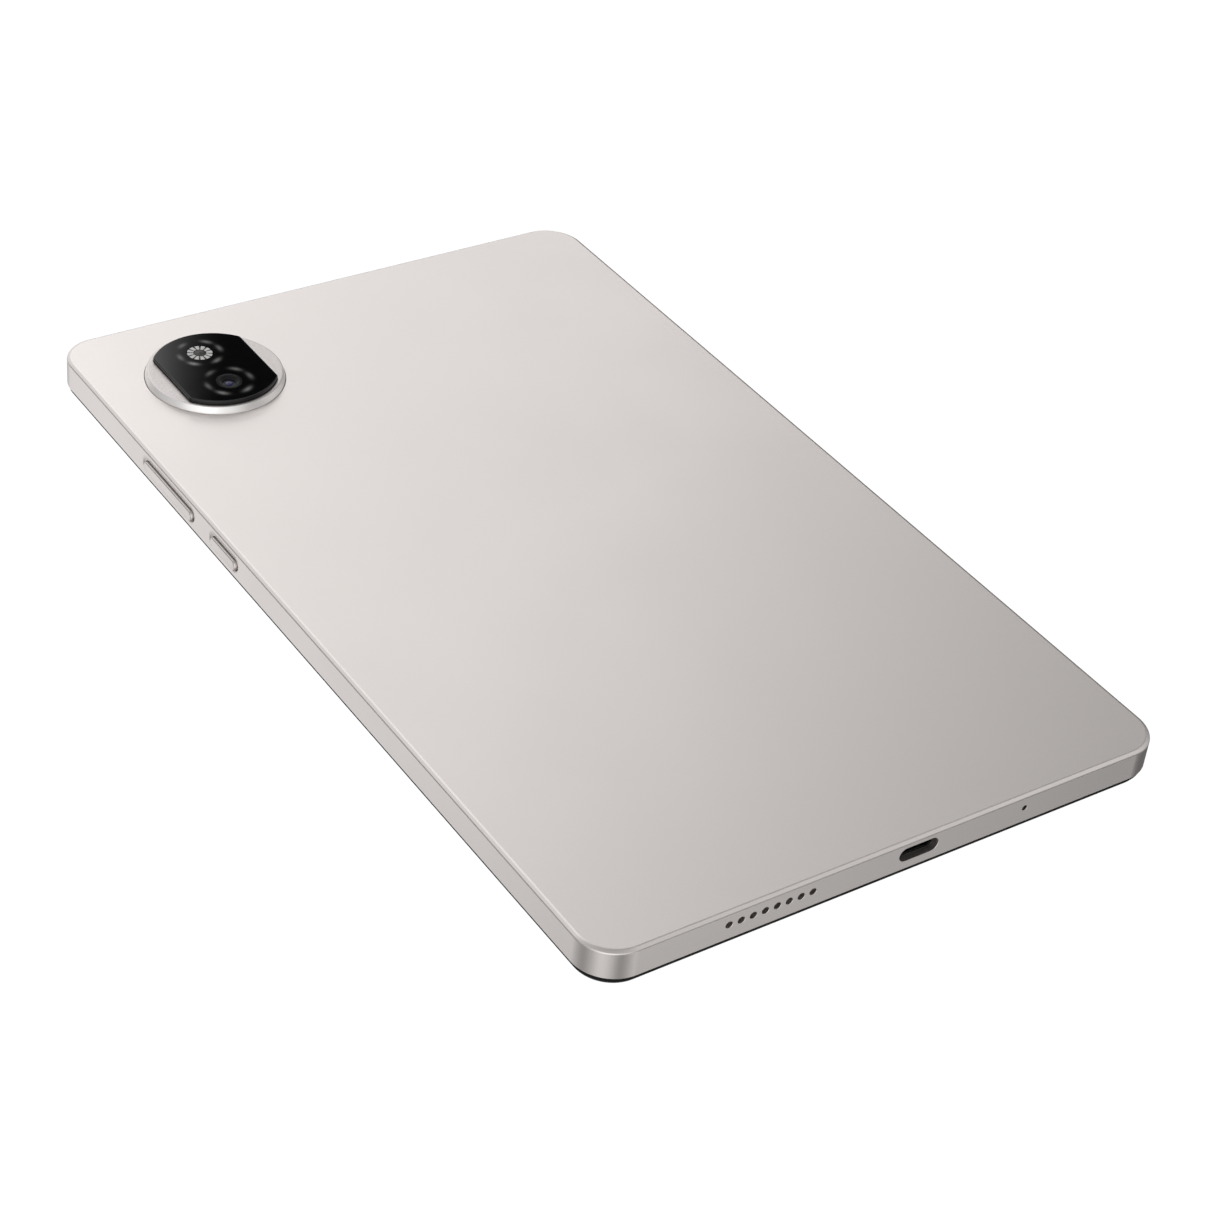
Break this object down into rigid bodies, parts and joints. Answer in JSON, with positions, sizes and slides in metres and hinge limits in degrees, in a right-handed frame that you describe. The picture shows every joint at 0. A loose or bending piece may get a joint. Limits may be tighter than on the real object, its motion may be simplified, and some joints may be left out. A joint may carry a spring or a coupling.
{
  "type": "tablet computer",
  "caption": "Thin slate tablet with a satin metal rear housing, a raised round camera island, side keys, a USB-C port and speaker grilles.",
  "frame": {"origin": "under the middle of the screen glass, at the bottom of the bounding box", "axes": "+Z out of the rear cover, +Y towards the camera end, -X towards the long side with the keys; the tablet lies on its screen"},
  "size_m": [0.1263, 0.208, 0.0104],
  "materials": {
    "housing_metal": "fine bead-blasted and anodised, warm silver, satin",
    "ring_metal": "polished slope with fine-grained flats",
    "key_metal": "satin, same colour as the housing",
    "black_glass": "opaque back-printed glass, glossy",
    "lens_glass": "dark coated glass with a blue cast",
    "flash_diffuser": "pale moulded lens with fine facets",
    "cover_glass": "glass over a dark screen, glossy",
    "display_glass": "laminated display panel",
    "light_guide": "clear moulded light guide with a white film",
    "tray_metal": "stamped sheet",
    "stamped_steel": "stamped, plated",
    "port_steel": "drawn stainless shell",
    "screw_steel": "plated machine screw",
    "battery_pouch": "laminated aluminium pouch, matt",
    "black_plastic": "moulded, matt",
    "white_plastic": "matt",
    "circuit_board": "solder resist",
    "chip_epoxy": "moulded epoxy",
    "flex_circuit": "polyimide film",
    "graphite": "graphite film",
    "soft_rubber": "moulded silicone",
    "acoustic_cloth": "fine woven mesh"
  },
  "bodies": {
    "tablet_body": {"rear_housing": "housing_metal", "camera_ring": "ring_metal", "camera_window": "black_glass", "lens_cover_glass": "lens_glass", "flash_lens": "flash_diffuser", "rear_camera_housing": "stamped_steel", "camera_sensor_board": "circuit_board", "rear_camera_flex": "flex_circuit", "flash_led": "white_plastic", "volume_up_switch": "stamped_steel", "volume_down_switch": "stamped_steel", "power_switch": "stamped_steel", "side_key_flex": "flex_circuit", "side_key_bracket": "stamped_steel", "cover_glass": "cover_glass", "display_bezel": "black_plastic", "lcd_panel": "display_glass", "light_guide": "light_guide", "backlight_tray": "tray_metal", "support_plate": "tray_metal", "display_flex": "flex_circuit", "front_camera": "black_plastic", "battery_cell_left": "battery_pouch", "battery_cell_right": "battery_pouch", "battery_adhesive": "white_plastic", "battery_protection_board": "circuit_board", "battery_lead": "flex_circuit", "mainboard": "circuit_board", "processor": "chip_epoxy", "memory_chip": "chip_epoxy", "processor_shield": "stamped_steel", "radio_shield": "stamped_steel", "graphite_sheet": "graphite", "usb_board": "circuit_board", "usb_shell": "port_steel", "usb_tongue": "black_plastic", "usb_bracket": "stamped_steel", "microphone": "stamped_steel", "microphone_gasket": "soft_rubber", "main_flex": "flex_circuit", "near_speaker_box": "black_plastic", "near_speaker_magnet": "stamped_steel", "near_speaker_mesh": "acoustic_cloth", "far_speaker_box": "black_plastic", "far_speaker_magnet": "stamped_steel", "far_speaker_mesh": "acoustic_cloth", "antenna_left": "black_plastic", "antenna_right": "black_plastic", "mainboard_screw_1": "screw_steel", "mainboard_screw_2": "screw_steel", "mainboard_screw_3": "screw_steel", "usb_board_screw_1": "screw_steel", "usb_board_screw_2": "screw_steel", "usb_bracket_screw_1": "screw_steel", "usb_bracket_screw_2": "screw_steel"},
    "volume_rocker": {"volume_key": "key_metal"},
    "power_button": {"power_key": "key_metal"},
    "focus_lens": {"rear_camera_lens": "black_plastic"},
    "near_speaker_diaphragm": {"near_speaker_cone": "soft_rubber"},
    "far_speaker_diaphragm": {"far_speaker_cone": "soft_rubber"}
  },
  "joints": [
    {"name": "volume_key_rock", "type": "hinge", "parent": "tablet_body", "child": "volume_rocker", "pos_m": [-0.061, 0.0513, 0.0044], "axis": [0, 0, 1], "range_deg": [-1.2, 1.2], "stiffness_Nm_per_rad": 0.7},
    {"name": "power_key_press", "type": "slide", "parent": "tablet_body", "child": "power_button", "axis": [1, 0, 0], "range_m": [0, 0.00025], "stiffness_N_per_m": 6000},
    {"name": "rear_lens_focus", "type": "slide", "parent": "tablet_body", "child": "focus_lens", "axis": [0, 0, 1], "range_m": [0, 0.00025], "stiffness_N_per_m": 150},
    {"name": "near_speaker_stroke", "type": "slide", "parent": "tablet_body", "child": "near_speaker_diaphragm", "axis": [0, 0, 1], "range_m": [-0.0003, 0.0003], "stiffness_N_per_m": 900},
    {"name": "far_speaker_stroke", "type": "slide", "parent": "tablet_body", "child": "far_speaker_diaphragm", "axis": [0, 0, 1], "range_m": [-0.0003, 0.0003], "stiffness_N_per_m": 900}
  ]
}
